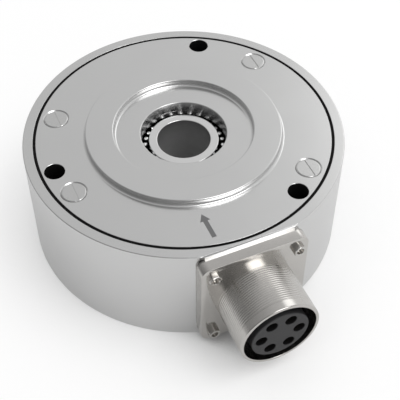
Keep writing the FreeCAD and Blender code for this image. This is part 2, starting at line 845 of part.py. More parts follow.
pieces = [
    housing,
    cover_plate,
    cover_seal,
    cover_screws,
    bearing_outer_ring,
    bearing_inner_ring,
    bearing_needles,
    sensing_element,
    element_screws,
    element_dowels,
    overload_stops,
    strain_gauges,
    gauge_leads,
    connector_shell,
    connector_insert,
    contact_sockets,
    insert_retaining_ring,
    terminal_board,
    connector_seal,
    connector_screws,
]
for item in doc.Objects:
    if "Invalid" in item.State or "Error" in item.State:
        raise RuntimeError(item.Name + " did not build: " + ", ".join(item.State))
os.makedirs("parts", exist_ok=True)
for piece in pieces:
    shape = piece.Shape
    if shape.isNull() or not shape.isValid() or not shape.Solids:
        raise RuntimeError(piece.Name + " has no sound solid")
    piece.Label = piece.Name
    shape.exportStep("parts/" + piece.Label + ".step")
    print(piece.Label, len(shape.Solids), "solids", round(shape.Volume, 2), "mm3")
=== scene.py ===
import math

import bmesh
import bpy
from mathutils import Matrix, Vector


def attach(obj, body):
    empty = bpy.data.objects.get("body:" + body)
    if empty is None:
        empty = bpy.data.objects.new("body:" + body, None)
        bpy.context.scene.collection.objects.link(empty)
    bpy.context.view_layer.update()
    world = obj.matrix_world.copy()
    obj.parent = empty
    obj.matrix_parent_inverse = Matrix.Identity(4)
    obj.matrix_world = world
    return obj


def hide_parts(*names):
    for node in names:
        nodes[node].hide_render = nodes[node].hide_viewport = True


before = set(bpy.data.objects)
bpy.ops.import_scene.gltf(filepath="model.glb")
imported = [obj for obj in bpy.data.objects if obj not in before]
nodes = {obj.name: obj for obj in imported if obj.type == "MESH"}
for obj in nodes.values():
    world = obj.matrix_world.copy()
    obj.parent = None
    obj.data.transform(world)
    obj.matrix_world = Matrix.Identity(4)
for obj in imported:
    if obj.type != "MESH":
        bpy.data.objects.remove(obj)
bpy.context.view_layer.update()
mm = 0.001
print("frame loaded,", len(nodes), "CAD nodes")


# a socket that can be added, multiplied and compared like a number
class Wire:
    def __init__(self, tree, socket=None):
        self.tree = tree
        self.socket = socket

    def node(self, kind, settings=None, sockets=None, out=0):
        made = self.tree.nodes.new(kind)
        for field, setting in (settings or {}).items():
            setattr(made, field, setting)
        for key, fed in (sockets or {}).items():
            if isinstance(fed, Wire):
                self.tree.links.new(fed.socket, made.inputs[key])
            else:
                made.inputs[key].default_value = fed
        return Wire(self.tree, made.outputs[out] if len(made.outputs) else None)

    def pick(self, out):
        return Wire(self.tree, self.socket.node.outputs[out])

    def math(self, operation, *terms):
        return self.node("ShaderNodeMath", {"operation": operation}, dict(enumerate(terms)))

    def __add__(self, other):
        return self.math("ADD", self, other)

    def __sub__(self, other):
        return self.math("SUBTRACT", self, other)

    def __rsub__(self, other):
        return self.math("SUBTRACT", other, self)

    def __mul__(self, other):
        return self.math("MULTIPLY", self, other)

    def __truediv__(self, other):
        return self.math("DIVIDE", self, other)

    def __rtruediv__(self, other):
        return self.math("DIVIDE", other, self)

    def __pow__(self, other):
        return self.math("POWER", self, other)

    def __rpow__(self, other):
        return self.math("POWER", other, self)

    def __gt__(self, other):
        return self.math("GREATER_THAN", self, other)

    def __abs__(self):
        return self.math("ABSOLUTE", self)

    __radd__ = __add__
    __rmul__ = __mul__


# camera: in front and to the left of the connector, looking down
shot = {
    "lens": 84.9, "sensor": 36.0, "near": 0.01, "far": 20.0,
    "place": (-82.08, -198.92, 247.89), "tilt": 41.5, "turn": -23.8,
}
camera = bpy.data.objects.new("camera", bpy.data.cameras.new("camera"))
camera.data.lens = shot["lens"]
camera.data.sensor_width = shot["sensor"]
camera.data.clip_start = shot["near"]
camera.data.clip_end = shot["far"]
camera.location = Vector(shot["place"]) * mm
camera.rotation_euler = (math.radians(shot["tilt"]), 0.0, math.radians(shot["turn"]))
bpy.context.scene.collection.objects.link(camera)
bpy.context.scene.camera = camera
bpy.context.scene.view_settings.view_transform = "Standard"
print("camera placed")


# a heading given as right, away and up from where the camera stands
def heading(right, away, up):
    turn = math.radians(shot["turn"])
    x = right * math.cos(turn) - away * math.sin(turn)
    y = right * math.sin(turn) + away * math.cos(turn)
    return Vector((x, y, up)).normalized()


# studio: each panel is heading, inner and outer spread in degrees, and how much light it adds
studio = {
    "sky": 0.52,
    "rightward": 0.25,
    "farward": 0.23,
    "least": 0.12,
    "panels": [
        ((0.47, -0.38, 0.79), 12, 24, 3.2),
        ((0.36, 0.70, 0.61), 5, 16, 1.0),
    ],
    "dome": 0.88,
    "backdrop": 1.0,
    "lampPower": 1.5,
    "lampSize": 0.5,
    "lampPlace": (0.47, -0.1, 0.79),
    "lampReach": 0.9,
}
white = (1, 1, 1, 1)
world = bpy.data.worlds.new("studio")
bpy.context.scene.world = world
world.use_nodes = True
world.node_tree.nodes.clear()
sky = Wire(world.node_tree)
gaze = sky.node("ShaderNodeTexCoord", out="Generated")


# how far one vector runs along a fixed one
def dotted(start, vector, fixed):
    return start.node("ShaderNodeVectorMath", {"operation": "DOT_PRODUCT"}, {0: vector, 1: fixed}, "Value")


def background(strength):
    return sky.node("ShaderNodeBackground", None, {"Color": white, "Strength": strength})


# reflections see a sky that gets lighter to the right and the far side, with the panels on it
level = dotted(sky, gaze, heading(1, 0, 0)) * studio["rightward"]
level = level + dotted(sky, gaze, heading(0, 1, 0)) * studio["farward"]
level = sky.math("MAXIMUM", level + studio["sky"], studio["least"])
for aim, inner, outer, gain in studio["panels"]:
    level = level + sky.node("ShaderNodeMapRange", {"interpolation_type": "SMOOTHSTEP"}, {
        "Value": dotted(sky, gaze, heading(*aim)),
        "From Min": math.cos(math.radians(outer)),
        "From Max": math.cos(math.radians(inner)),
        "To Max": gain,
    })
path = sky.node("ShaderNodeLightPath")
unseen = sky.node("ShaderNodeMixShader", None, {
    0: path.pick("Is Glossy Ray"), 1: background(studio["dome"]), 2: background(level),
})
allRound = sky.node("ShaderNodeMixShader", None, {
    0: path.pick("Is Camera Ray"), 1: unseen, 2: background(studio["backdrop"]),
})
sky.node("ShaderNodeOutputWorld", None, {"Surface": allRound})

lamp = bpy.data.objects.new("softLamp", bpy.data.lights.new("softLamp", "AREA"))
lamp.data.energy = studio["lampPower"]
lamp.data.size = studio["lampSize"]
lamp.location = heading(*studio["lampPlace"]) * studio["lampReach"]
lamp.rotation_euler = lamp.location.to_track_quat("Z", "Y").to_euler()
lamp.visible_glossy = False
lamp.visible_camera = False
bpy.context.scene.collection.objects.link(lamp)
print("studio lit")


def finish(name, paint):
    made = bpy.data.materials.new(name)
    made.use_nodes = True
    made.node_tree.nodes.clear()
    start = Wire(made.node_tree)
    start.node("ShaderNodeOutputMaterial", None, {"Surface": paint(start)})
    return made


def grey(level):
    return level, level, level, 1


def spot(start):
    return start.node("ShaderNodeTexCoord", out="Object")


def axes(start, vector):
    split = start.node("ShaderNodeSeparateXYZ", None, {0: vector})
    return split.pick("X"), split.pick("Y"), split.pick("Z")


# fine lines along one measure, such as a turning tool leaves
def lines(start, along, pitch):
    return start.node("ShaderNodeTexNoise", {"noise_dimensions": "1D"}, {
        "W": along / (pitch * mm), "Scale": 1.0, "Detail": 2.0, "Roughness": 0.6,
    })


def grain(start, size, detail=3.0):
    return start.node("ShaderNodeTexNoise", None, {
        "Vector": spot(start), "Scale": 1 / (size * mm), "Detail": detail, "Roughness": 0.55,
    })


# from a finish's dark colour to its light one
def tinted(start, amount, look):
    ends = {0: amount, 6: look["dark"], 7: look["light"]}
    return start.node("ShaderNodeMix", {"data_type": "RGBA"}, ends, 2)


# a level that swings to both sides with marks between 0 and 1
def varied(level, marks, swing):
    return level + (marks - 0.5) * swing


def bumped(start, height, look):
    return start.node("ShaderNodeBump", None, {
        "Height": height, "Distance": look["depth"] * mm, "Strength": look["bump"],
    })


# what is the same all over stands in the finish's own "steel" and "fixed"
def surface(start, look, colour, rough, normal=None):
    sockets = {"Base Color": colour, "Metallic": look["steel"], "Roughness": rough}
    sockets.update(look.get("fixed", {}))
    if normal:
        sockets["Normal"] = normal
    return start.node("ShaderNodeBsdfPrincipled", None, sockets)


# a finish whose colour, gloss and relief all follow one grain
def speckled(look):
    def paint(start):
        skin = grain(start, look["grain"])
        rough = varied(look["rough"], skin, look["swing"])
        return surface(start, look, tinted(start, skin, look), rough, bumped(start, skin, look))
    return paint


# a finish that follows fine lines across one way
def lined(look):
    def paint(start):
        marks = lines(start, dotted(start, spot(start), look["way"]), look["pitch"])
        rough = varied(look["rough"], marks, look["swing"])
        normal = bumped(start, marks, look) if "bump" in look else None
        return surface(start, look, tinted(start, marks, look), rough, normal)
    return paint


# turned about the upright axis: rings on the flats, level lines on the walls
aluminium = {
    "dark": grey(0.675), "light": (0.72, 0.72, 0.715, 1), "steel": 1.0, "rough": 0.22, "swing": 0.04,
    "pitch": 0.11, "flatFrom": 0.75, "cloud": 14.0, "cloudSwing": 0.06, "depth": 0.012, "bump": 0.05,
}


def turnedPaint(start):
    x, y, z = axes(start, spot(start))
    facing = axes(start, start.node("ShaderNodeNewGeometry", out="True Normal"))[2]
    isFlat = abs(facing) > aluminium["flatFrom"]
    marks = lines(start, isFlat * (x * x + y * y) ** 0.5 + (1 - isFlat) * z, aluminium["pitch"])
    cloud = grain(start, aluminium["cloud"])
    colour = tinted(start, marks * 0.5 + cloud * 0.5, aluminium)
    rough = varied(varied(aluminium["rough"], marks, aluminium["swing"]), cloud, aluminium["cloudSwing"])
    return surface(start, aluminium, colour, rough, bumped(start, marks, aluminium))


turnedAluminium = finish("turnedAluminium", turnedPaint)

# finely bored wall of the opening
bored = {
    "dark": grey(0.62), "light": grey(0.68), "steel": 1.0, "rough": 0.26, "swing": 0.04, "pitch": 0.06,
    "way": (0, 0, 1), "fixed": {"Anisotropic": 0.9, "Anisotropic Rotation": 0.25},
}
boredAluminium = finish("boredAluminium", lined(bored))

# painted shade: the walls of the drilled holes are coloured near-black because they lie in shade
holeShade = {
    "dark": grey(0.004), "light": grey(0.010), "steel": 0.0, "rough": 0.8, "swing": 0.2, "pitch": 0.2,
    "way": (0, 1, 1), "depth": 0.01, "bump": 0.2, "fixed": {"Specular IOR Level": 0.1},
}
paintedHoleShade = finish("paintedHoleShade", lined(holeShade))

screwSteel = {
    "dark": grey(0.60), "light": (0.72, 0.72, 0.71, 1), "steel": 1.0, "rough": 0.24, "swing": 0.12,
    "grain": 0.5, "depth": 0.01, "bump": 0.08,
}
brightSteel = finish("brightSteel", speckled(screwSteel))

# satin grey of the shaft bore, with painted light: its colour gets lighter deep down, standing in for light
# bounced down the bore
satin = {
    "dark": grey(0.09), "light": grey(0.48), "steel": 0.0, "rough": 0.6, "swing": 0.1, "pitch": 0.09,
    "top": 34.0, "low": 16.0, "grain": 2.0, "grainSwing": 0.1, "depth": 0.006, "bump": 0.1,
}


def satinPaint(start):
    z = axes(start, spot(start))[2]
    marks = lines(start, z, satin["pitch"])
    # painted light: the colour goes from dark at the top of the bore to light deep down
    paintedDepthLight = start.node("ShaderNodeMapRange", None, {
        "Value": z, "From Min": satin["top"] * mm, "From Max": satin["low"] * mm,
    })
    colour = tinted(start, varied(paintedDepthLight, grain(start, satin["grain"]), satin["grainSwing"]), satin)
    rough = varied(satin["rough"], marks, satin["swing"])
    return surface(start, satin, colour, rough, bumped(start, marks, satin))


satinBorePaintedLight = finish("satinBorePaintedLight", satinPaint)

# bearing rings, ground bright
bearingSteel = {
    "dark": grey(0.74), "light": (0.86, 0.86, 0.855, 1), "steel": 1.0, "rough": 0.13, "swing": 0.06,
    "pitch": 0.05, "grain": 3.0, "lineShare": 0.6, "depth": 0.004, "bump": 0.06,
}


def groundPaint(start):
    marks = lines(start, axes(start, spot(start))[2], bearingSteel["pitch"])
    share = bearingSteel["lineShare"]
    colour = tinted(start, marks * share + grain(start, bearingSteel["grain"]) * (1 - share), bearingSteel)
    rough = varied(bearingSteel["rough"], marks, bearingSteel["swing"])
    return surface(start, bearingSteel, colour, rough, bumped(start, marks, bearingSteel))


groundSteel = finish("groundSteel", groundPaint)

# rollers: near-black steel, painted shade, with a painted highlight: a bright spot in the middle of each end
roller = {
    "dark": grey(0.012), "light": grey(0.95), "steel": 1.0, "rough": 0.16, "swing": 0.06, "grain": 0.6,
    "spot": 0.80, "blur": 0.25, "circle": 12.55, "count": 30,
}


def rollerPaint(start):
    x, y, z = axes(start, spot(start))
    step = 2 * math.pi / roller["count"]
    turn = start.math("ARCTAN2", y, x) / step
    aside = (turn - start.math("ROUND", turn)) * step
    radius = (x * x + y * y) ** 0.5
    out = start.math("COSINE", aside) * radius - roller["circle"] * mm
    along = start.math("SINE", aside) * radius
    # painted highlight: a bright colour spot on each roller end, near-black painted shade elsewhere
    bright = start.node("ShaderNodeMapRange", {"interpolation_type": "SMOOTHSTEP"}, {
        "Value": (out * out + along * along) ** 0.5,
        "From Min": roller["spot"] * mm,
        "From Max": (roller["spot"] - roller["blur"]) * mm,
    })
    rough = varied(roller["rough"], grain(start, roller["grain"]), roller["swing"])
    return surface(start, roller, tinted(start, bright, roller), rough)


rollerGlintAndShade = finish("rollerGlintAndShade", rollerPaint)

# warm nickel plate of the connector; the cut thread is a little duller
nickel = {
    "dark": (0.54, 0.525, 0.505, 1), "light": (0.62, 0.605, 0.58, 1), "steel": 1.0,
    "rough": 0.18, "swing": 0.08, "cloud": 5.0, "specks": 0.22, "speckSwing": 0.04,
    "depth": 0.006, "bump": 0.06, "threadRough": 0.20, "threadSwing": 0.06,
}


def nickelPaint(start):
    cloud = grain(start, nickel["cloud"])
    specks = grain(start, nickel["specks"], 2.0)
    rough = varied(varied(nickel["rough"], cloud, nickel["swing"]), specks, nickel["speckSwing"])
    return surface(start, nickel, tinted(start, cloud, nickel), rough, bumped(start, specks, nickel))


def threadPaint(start):
    cloud = grain(start, nickel["cloud"])
    rough = varied(nickel["threadRough"], cloud, nickel["threadSwing"])
    return surface(start, nickel, tinted(start, cloud, nickel), rough)


platedNickel = finish("platedNickel", nickelPaint)
threadNickel = finish("threadNickel", threadPaint)

# dark plastic of the insert
moulded = {
    "dark": (0.017, 0.017, 0.018, 1), "light": (0.025, 0.025, 0.026, 1), "steel": 0.0,
    "rough": 0.52, "swing": 0.15, "cloud": 4.0, "grain": 0.16, "depth": 0.02, "bump": 0.15,
}


def mouldedPaint(start):
    skin = grain(start, moulded["grain"], 2.0)
    colour = tinted(start, grain(start, moulded["cloud"]), moulded)
    rough = varied(moulded["rough"], skin, moulded["swing"])
    return surface(start, moulded, colour, rough, bumped(start, skin, moulded))


mouldedPlastic = finish("mouldedPlastic", mouldedPaint)

rubber = {
    "dark": grey(0.003), "light": grey(0.006), "steel": 0.0, "rough": 0.75, "swing": 0.2,
    "grain": 0.3, "depth": 0.02, "bump": 0.2, "fixed": {"Specular IOR Level": 0.15},
}
sealRubber = finish("sealRubber", speckled(rubber))

# black oxide on the ring that holds the insert
oxide = {
    "dark": (0.012, 0.012, 0.013, 1), "light": (0.03, 0.03, 0.032, 1), "steel": 0.6,
    "rough": 0.45, "swing": 0.2, "grain": 0.4, "depth": 0.01, "bump": 0.1,
}
blackSpring = finish("blackSpring", speckled(oxide))

gold = {
    "dark": (0.62, 0.42, 0.16, 1), "light": (0.78, 0.56, 0.25, 1), "steel": 1.0,
    "rough": 0.25, "swing": 0.15, "grain": 0.8, "depth": 0.006, "bump": 0.1,
}
goldPlate = finish("goldPlate", speckled(gold))

elementSteel = {
    "dark": (0.46, 0.46, 0.47, 1), "light": grey(0.60), "steel": 1.0, "rough": 0.33, "swing": 0.12,
    "pitch": 0.25, "way": (0.6, 0.4, 1), "depth": 0.01, "bump": 0.15,
}
milledSteel = finish("milledSteel", lined(elementSteel))

# gauges: amber film with a metal grid on it
foil = {
    "dark": (0.55, 0.30, 0.08, 1), "light": (0.70, 0.60, 0.42, 1), "pitch": 0.45, "gridFrom": 0.1,
    "filmRough": 0.42, "gridShine": 0.14, "gridSteel": 0.8, "grain": 0.6, "swing": 0.06,
}


def foilPaint(start):
    z = axes(start, spot(start))[2]
    wires = start.math("SINE", z * (2 * math.pi / (foil["pitch"] * mm))) > foil["gridFrom"]
    rough = foil["filmRough"] - wires * foil["gridShine"] + grain(start, foil["grain"]) * foil["swing"]
    return start.node("ShaderNodeBsdfPrincipled", None, {
        "Base Color": tinted(start, wires, foil), "Metallic": wires * foil["gridSteel"], "Roughness": rough,
    })


gaugeFoil = finish("gaugeFoil", foilPaint)

lacquer = {
    "dark": (0.10, 0.012, 0.010, 1), "light": (0.19, 0.025, 0.018, 1), "steel": 0.0,
    "rough": 0.4, "swing": 0.2, "grain": 1.5, "depth": 0.02, "bump": 0.1,
}
leadSleeve = finish("leadSleeve", speckled(lacquer))

# woven board of the contacts
laminate = {
    "dark": (0.05, 0.15, 0.07, 1), "light": (0.09, 0.22, 0.11, 1), "steel": 0.0, "rough": 0.45, "swing": 0.1,
    "pitch": 0.5, "depth": 0.01, "bump": 0.2,
}


def laminatePaint(start):
    x, y, z = axes(start, spot(start))
    step = 2 * math.pi / (laminate["pitch"] * mm)
    weave = start.math("SINE", x * step) * start.math("SINE", z * step) * 0.5 + 0.5
    rough = varied(laminate["rough"], weave, laminate["swing"])
    return surface(start, laminate, tinted(start, weave, laminate), rough, bumped(start, weave, laminate))


boardLaminate = finish("boardLaminate", laminatePaint)

ink = {
    "dark": (0.13, 0.13, 0.132, 1), "light": grey(0.17), "steel": 0.2, "rough": 0.5, "swing": 0.2,
    "grain": 0.12, "depth": 0.01, "bump": 0.1,
}
markInk = finish("markInk", speckled(ink))

# paper floor: the camera sees it white, with a soft shadow that is partly real and partly painted shadow
# painted shade: reflections and stray light see its colour go from grey to pale, left to right
paper = {
    "dark": 0.45, "light": 0.82, "from": -150.0, "to": -75.0, "white": 0.72, "open": 32.0, "openSamples": 16,
    "corner": 0.4, "shut": 0.2, "free": 0.5, "grain": 1.2, "swing": 0.03, "reach": 3.0, "parts": 8,
}


def paperPaint(start):
    path = start.node("ShaderNodeLightPath")
    looked = start.math("MAXIMUM", path.pick("Is Camera Ray"), path.pick("Is Transmission Ray"))
    # painted shade: the floor's colour darkens from right to left for reflections and stray light
    paintedShadeLevel = start.node("ShaderNodeMapRange", {"interpolation_type": "SMOOTHSTEP"}, {
        "Value": dotted(start, spot(start), heading(1, 0, 0) / mm),
        "From Min": paper["from"], "From Max": paper["to"],
        "To Min": paper["dark"], "To Max": paper["light"],
    })
    # painted shadow: ambient occlusion darkens the floor's colour near the object
    clear = start.node("ShaderNodeAmbientOcclusion", {"samples": paper["openSamples"]}, {
        "Distance": paper["open"] * mm,
    }, "AO")
    shade = start.node("ShaderNodeMapRange", {"interpolation_type": "SMOOTHSTEP"}, {
        "Value": clear, "From Min": paper["shut"], "From Max": paper["free"], "To Min": paper["corner"],
    })
    paintedShadeLevel = varied(looked * shade + (1 - looked) * paintedShadeLevel, grain(start, paper["grain"]), paper["swing"])
    colour = start.node("ShaderNodeCombineColor", None, {0: paintedShadeLevel, 1: paintedShadeLevel, 2: paintedShadeLevel})
    matt = start.node("ShaderNodeBsdfDiffuse", None, {"Color": colour})
    bright = start.node("ShaderNodeEmission", None, {"Color": white, "Strength": 1.0})
    # painted shadow: less white glow where ambient occlusion finds the object close
    share = looked * clear * clear * paper["white"]
    return start.node("ShaderNodeMixShader", None, {0: share, 1: matt, 2: bright})


floorMesh = bmesh.new()
bmesh.ops.create_grid(floorMesh, x_segments=paper["parts"], y_segments=paper["parts"], size=paper["reach"])
floorData = bpy.data.meshes.new("paperFloor")
floorMesh.to_mesh(floorData)
floorMesh.free()
floorData.materials.append(finish("whitePaper", paperPaint))
floor = bpy.data.objects.new("paperFloor", floorData)
bpy.context.scene.collection.objects.link(floor)
print("finishes mixed, floor laid")


# shop habits, in millimetres and degrees
shop = {
    "closeShare": 0.12,  # line beside a rounded edge, as a share of its radius
    "closeMost": 0.04,
    "past": 1.0,  # a cutting tool runs this far past the face
    "weld": 1e-4,
    "cutWeld": 2e-4,
    "threadWeld": 1e-3,
    "crease": 26.0,
    "wallTilt": 0.5,  # a face is a hole's wall if its normal leans less than this along the hole
    "wallReach": 0.05,
    "fineReach": 0.02,
}


# corners are (radius, height, edge); an edge is rounded, with a close line beside it so that flats stay flat
def softened(corners, steps=4):
    line = []
    for i, corner in enumerate(corners):
        here = Vector(corner[:2])
        edge = corner[2] if len(corner) > 2 else 0
        if not edge:
            line.append(here)
            continue
        back = (Vector(corners[i - 1][:2]) - here).normalized()
        ahead = (Vector(corners[(i + 1) % len(corners)][:2]) - here).normalized()
        half = back.angle(ahead) / 2
        run = edge / math.tan(half)
        centre = here + (back + ahead).normalized() * (edge / math.sin(half))
        arm = here + back * run - centre
        end = here + ahead * run - centre
        sweep = math.copysign(math.pi - 2 * half, arm.x * end.y - arm.y * end.x)
        beside = min(edge * shop["closeShare"], shop["closeMost"])
        line.append(here + back * (run + beside))
        for step in range(steps + 1):
            line.append(centre + Matrix.Rotation(sweep * step / steps, 2) @ arm)
        line.append(here + ahead * (run + beside))
    return line


def tidied(shape):
    bmesh.ops.remove_doubles(shape, verts=shape.verts, dist=shop["weld"])
    bmesh.ops.recalc_face_normals(shape, faces=shape.faces)
    return shape


# turns an outline of (radius, height) about the upright axis
def lathe(line, around, closed=True):
    shape = bmesh.new()
    turns = [2 * math.pi * k / around for k in range(around)]
    rings = []
    for radius, height in line:
        rings.append([shape.verts.new((radius * math.cos(a), radius * math.sin(a), height)) for a in turns])
    for i in range(len(rings) if closed else len(rings) - 1):
        low, high = rings[i], rings[(i + 1) % len(rings)]
        for k in range(around):
            shape.faces.new((low[k], low[k - 1], high[k - 1], high[k]))
    return tidied(shape)


# a drill from low to high with a broken edge at the top; with a foot, even none, it comes out at the bottom
def drill(radius, low, high, lip=0.0, foot=None, at=(0, 0), around=64):
    past = shop["past"]
    line = [(0, low), (radius, low)]
    if foot is not None:
        line = [(0, low - past), (radius + foot, low - past), (radius + foot, low), (radius, low + foot)]
    line += [(radius, high - lip), (radius + lip, high), (radius + lip, high + past), (0, high + past)]
    shape = lathe(line, around)
    bmesh.ops.translate(shape, verts=shape.verts, vec=(at[0], at[1], 0))
    return shape


def box(low, high):
    shape = bmesh.new()
    bmesh.ops.create_cube(shape, size=1.0)
    size = Vector(high) - Vector(low)
    bmesh.ops.scale(shape, verts=shape.verts, vec=size)
    bmesh.ops.translate(shape, verts=shape.verts, vec=Vector(low) + size / 2)
    return shape


# joins rows of points into walls and closes both ends
def skinned(shape, rows):
    for low, high in zip(rows, rows[1:]):
        for k in range(len(low)):
            shape.faces.new((low[k - 1], low[k], high[k], high[k - 1]))
    shape.faces.new(rows[0][::-1])
    shape.faces.new(rows[-1])
    return shape


def gathered(shapes):
    whole = bmesh.new()
    for shape in shapes:
        held = bpy.data.meshes.new("held")
        shape.to_mesh(held)
        shape.free()
        whole.from_mesh(held)
        bpy.data.meshes.remove(held)
    return whole


def copied(shape, places, turns=None):
    whole = bmesh.new()
    held = bpy.data.meshes.new("held")
    shape.to_mesh(held)
    shape.free()
    for place, turn in zip(places, turns or [0] * len(places)):
        there = Matrix.Translation((place[0], place[1], 0)) @ Matrix.Rotation(math.radians(turn), 4, "Z")
        held.transform(there)
        whole.from_mesh(held)
        held.transform(there.inverted())
    bpy.data.meshes.remove(held)
    return whole


# joins or cuts two shapes in millimetres and gives the result back as a shape
def carved(blank, tool, how="DIFFERENCE"):
    pair = []
    for shape in (blank, tool):
        data = bpy.data.meshes.new("blank")
        shape.to_mesh(data)
        shape.free()
        pair.append(bpy.data.objects.new("blank", data))
        bpy.context.scene.collection.objects.link(pair[-1])
    cutter = pair[0].modifiers.new("cut", "BOOLEAN")
    cutter.object = pair[1]
    cutter.operation = how
    cutter.solver = "EXACT"
    result = bpy.data.meshes.new_from_object(pair[0].evaluated_get(bpy.context.evaluated_depsgraph_get()))
    whole = bmesh.new()
    whole.from_mesh(result)
    bpy.data.meshes.remove(result)
    for held in pair:
        data = held.data
        bpy.data.objects.remove(held)
        bpy.data.meshes.remove(data)
    bmesh.ops.remove_doubles(whole, verts=whole.verts, dist=shop["cutWeld"])
    return whole


def piece(name, shape, material, node, body="body", place=Matrix.Identity(4)):
    shape.transform(Matrix.Scale(mm, 4) @ place)
    data = bpy.data.meshes.new(name)
    shape.to_mesh(data)
    shape.free()
    data.materials.append(material)
    data.shade_smooth()
    data.set_sharp_from_angle(angle=math.radians(shop["crease"]))
    made = bpy.data.objects.new(name, data)
    bpy.context.scene.collection.objects.link(made)
    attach(made, body)
    if node:
        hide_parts(node)
    return made


# another finish for the faces that the test picks by their normal and their centre in millimetres
def recoat(made, material, test):
    made.data.materials.append(material)
    index = len(made.data.materials) - 1
    for face in made.data.polygons:
        if test(face.center / mm, face.normal):
            face.material_index = index


def nearAxis(across, up, places, reach):
    return any(math.hypot(across - px, up - py) < reach for px, py in places)


# picks the upright walls of round holes at these places
def wallsOf(places, radius):
    def test(point, normal):
        isWall = abs(normal.z) < shop["wallTilt"]
        return isWall and nearAxis(point.x, point.y, places, radius + shop["wallReach"])
    return test


def polar(radius, angle):
    return radius * math.cos(math.radians(angle)), radius * math.sin(math.radians(angle))


middle = [(0, 0)]

# housing: turned cup with a milled flat; the connector's axis stands out of the flat
housing = {
    "radius": 51.0, "height": 37.5, "edge": 0.3, "recess": 47.8, "recessEdge": 0.1, "ledge": 34.1,
    "cavity": 36.5, "base": 6.0, "around": 240,
    "flat": 48.93, "flatBreak": 0.45, "millReach": 60.0, "millDepth": 2.0, "axisHeight": 19.0,
    "hole": 3.2, "holeCircle": 43.0, "holeAngles": (60, 180, 300), "lip": 0.1,
    "passage": 10.5, "passageDepth": 17.0, "passageLip": 0.2,
}
tipped = Matrix.Rotation(math.radians(90), 4, "X")
outOfFlat = Matrix.Translation((0, -housing["flat"], housing["axisHeight"])) @ tipped
holePlaces = [polar(housing["holeCircle"], angle) for angle in housing["holeAngles"]]
cup = lathe(softened([
    (0, 0),
    (housing["radius"], 0, housing["edge"]),
    (housing["radius"], housing["height"], housing["edge"]),
    (housing["recess"], housing["height"], housing["recessEdge"]),
    (housing["recess"], housing["ledge"]),
    (housing["cavity"], housing["ledge"]),
    (housing["cavity"], housing["base"]),
    (0, housing["base"]),
]), housing["around"])
reach = housing["millReach"]
flatSide = box((-reach, -reach, -shop["past"]), (reach, -housing["flat"], housing["height"] + shop["past"]))
flatEdge = box((-reach, -housing["millDepth"], 0), (reach, housing["millDepth"], housing["millDepth"]))
halfBreak = housing["flatBreak"] / 2
onEdge = Matrix.Translation((0, halfBreak - housing["flat"], housing["height"] - halfBreak))
flatEdge.transform(onEdge @ Matrix.Rotation(math.radians(45), 4, "X"))
passage = drill(housing["passage"], -housing["passageDepth"], 0, housing["passageLip"])
passage.transform(outOfFlat)
cuts = [drill(housing["hole"], 0, housing["ledge"], 0.0, housing["lip"], place) for place in holePlaces]
cup = carved(carved(carved(cup, gathered([flatSide] + cuts)), flatEdge), passage)
made = piece("turnedHousing", cup, turnedAluminium, "housing")
# painted shade on the walls of the mounting holes
recoat(made, paintedHoleShade, wallsOf(holePlaces, housing["hole"]))
print("housing turned and milled")

# cover: upright raised ring round the bearing
cover = {
    "radius": 46.9, "top": 37.5, "bottom": 34.1, "edge": 0.12, "around": 240,
    "opening": 13.7, "openingEdge": 0.3,
    "ringTop": 39.7, "ringOut": 31.2, "ringIn": 22.2, "ringEdge": 0.4, "foot": 0.8,
    "screwCircle": 41.6, "screwAngles": (32, 148, 194.5, 314), "screwHole": 2.25, "screwHoleLip": 0.05,
    "seat": 3.87, "seatLip": 0.35, "seatDepth": 2.3,
}
screwPlaces = [polar(cover["screwCircle"], angle) for angle in cover["screwAngles"]]
seatLow = cover["top"] - cover["seatDepth"]
disc = lathe(softened([
    (cover["opening"], cover["bottom"]),
    (cover["radius"], cover["bottom"], cover["edge"]),
    (cover["radius"], cover["top"], cover["edge"]),
    (cover["ringOut"], cover["top"], cover["foot"]),
    (cover["ringOut"], cover["ringTop"], cover["ringEdge"]),
    (cover["ringIn"], cover["ringTop"], cover["ringEdge"]),
    (cover["ringIn"], cover["top"], cover["foot"]),
    (cover["opening"], cover["top"], cover["openingEdge"]),
], 6), cover["around"])
cuts = []
for place in holePlaces:
    cuts.append(drill(housing["hole"], cover["bottom"], cover["top"], housing["lip"], 0.0, place))
for place in screwPlaces:
    cuts.append(drill(cover["seat"], seatLow, cover["top"], cover["seatLip"], None, place))
disc = carved(disc, gathered(cuts))
lip = cover["screwHoleLip"]
cuts = [drill(cover["screwHole"], cover["bottom"], seatLow, lip, lip, place) for place in screwPlaces]
disc = carved(disc, gathered(cuts))
made = piece("turnedCover", disc, turnedAluminium, "cover_plate")
# painted shade on the walls of the mounting holes through the cover
recoat(made, paintedHoleShade, wallsOf(holePlaces, housing["hole"]))
recoat(made, boredAluminium, wallsOf(middle, cover["opening"]))
print("cover turned and drilled")

# slotted screws, flush with the cover
coverScrew = {
    "head": 3.84, "round": 0.4, "headEdge": 0.1, "height": 2.3, "shank": 2.0, "shankEdge": 0.4, "end": 25.1,
    "slot": 1.0, "slotDepth": 0.25, "slotReach": 6.0, "around": 72,
}
headSeat = cover["top"] - coverScrew["height"]
blank = lathe(softened([
    (0, coverScrew["end"]),
    (coverScrew["shank"], coverScrew["end"], coverScrew["shankEdge"]),
    (coverScrew["shank"], headSeat),
    (coverScrew["head"], headSeat, coverScrew["headEdge"]),
    (coverScrew["head"], cover["top"], coverScrew["round"]),
    (0, cover["top"]),
], 6), coverScrew["around"])
slotTool = box(
    (-coverScrew["slot"] / 2, -coverScrew["slotReach"], cover["top"] - coverScrew["slotDepth"]),
    (coverScrew["slot"] / 2, coverScrew["slotReach"], cover["top"] + shop["past"]),
)
screws = copied(carved(blank, slotTool), screwPlaces)
piece("coverScrews", screws, brightSteel, "cover_screws")

